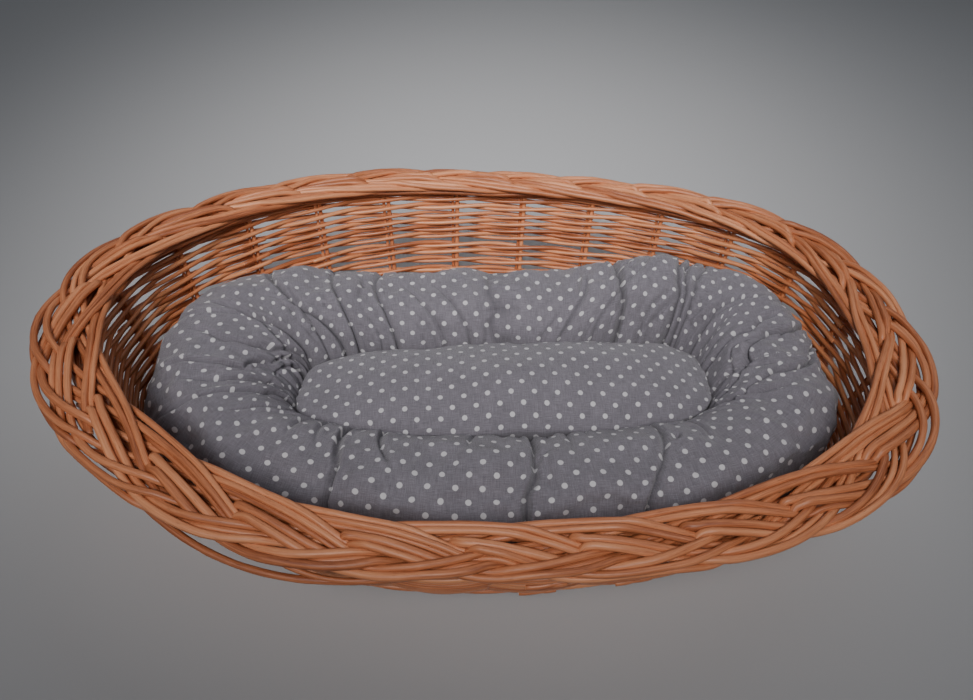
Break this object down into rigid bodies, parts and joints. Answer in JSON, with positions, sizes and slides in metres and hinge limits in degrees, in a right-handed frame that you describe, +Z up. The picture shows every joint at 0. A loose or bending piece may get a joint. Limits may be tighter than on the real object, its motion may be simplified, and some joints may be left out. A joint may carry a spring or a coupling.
{
  "type": "wicker pet bed basket",
  "caption": "Oval openwork willow pet basket with a wide plaited border, holding a loose padded cushion made as a stuffed ring around a crowned pad.",
  "frame": {"origin": "centre of the footprint of the whole basket, on the surface it stands on", "axes": "+X along the length, towards the narrower right-hand bolster end, +Y along the width towards the back, +Z up"},
  "size_m": [0.9048, 0.6321, 0.2117],
  "materials": {
    "willow": "varnished orange-brown willow rods, satin",
    "base_stick": "varnished willow sticks, satin",
    "dotted_cotton": "matt grey plain-weave cotton with small white dots",
    "bottom_cloth": "matt grey plain-weave cotton"
  },
  "bodies": {
    "basket": {"base_weave": "willow", "base_stick_cross_1": "base_stick", "base_stick_cross_2": "base_stick", "base_stick_cross_3": "base_stick", "base_stick_cross_4": "base_stick", "base_stick_cross_5": "base_stick", "base_stick_cross_6": "base_stick", "base_stick_cross_7": "base_stick", "base_stick_long_1": "base_stick", "base_stick_long_2": "base_stick", "base_stick_long_3": "base_stick", "stake_01": "willow", "stake_02": "willow", "stake_03": "willow", "stake_04": "willow", "stake_05": "willow", "stake_06": "willow", "stake_07": "willow", "stake_08": "willow", "stake_09": "willow", "stake_10": "willow", "stake_11": "willow", "stake_12": "willow", "stake_13": "willow", "stake_14": "willow", "stake_15": "willow", "stake_16": "willow", "stake_17": "willow", "stake_18": "willow", "stake_19": "willow", "stake_20": "willow", "stake_21": "willow", "stake_22": "willow", "stake_23": "willow", "stake_24": "willow", "wale_upsett": "willow", "weave_lower": "willow", "weave_upper": "willow", "wale_top": "willow", "border_strand_a": "willow", "border_strand_b": "willow", "border_strand_c": "willow"},
    "cushion": {"cushion_bolster": "dotted_cotton", "cushion_pad": "dotted_cotton", "cushion_bottom_panel": "bottom_cloth"}
  },
  "joints": [
    {"name": "cushion_lift", "type": "slide", "parent": "basket", "child": "cushion", "axis": [0, 0, 1], "range_m": [0, 0.25]}
  ]
}
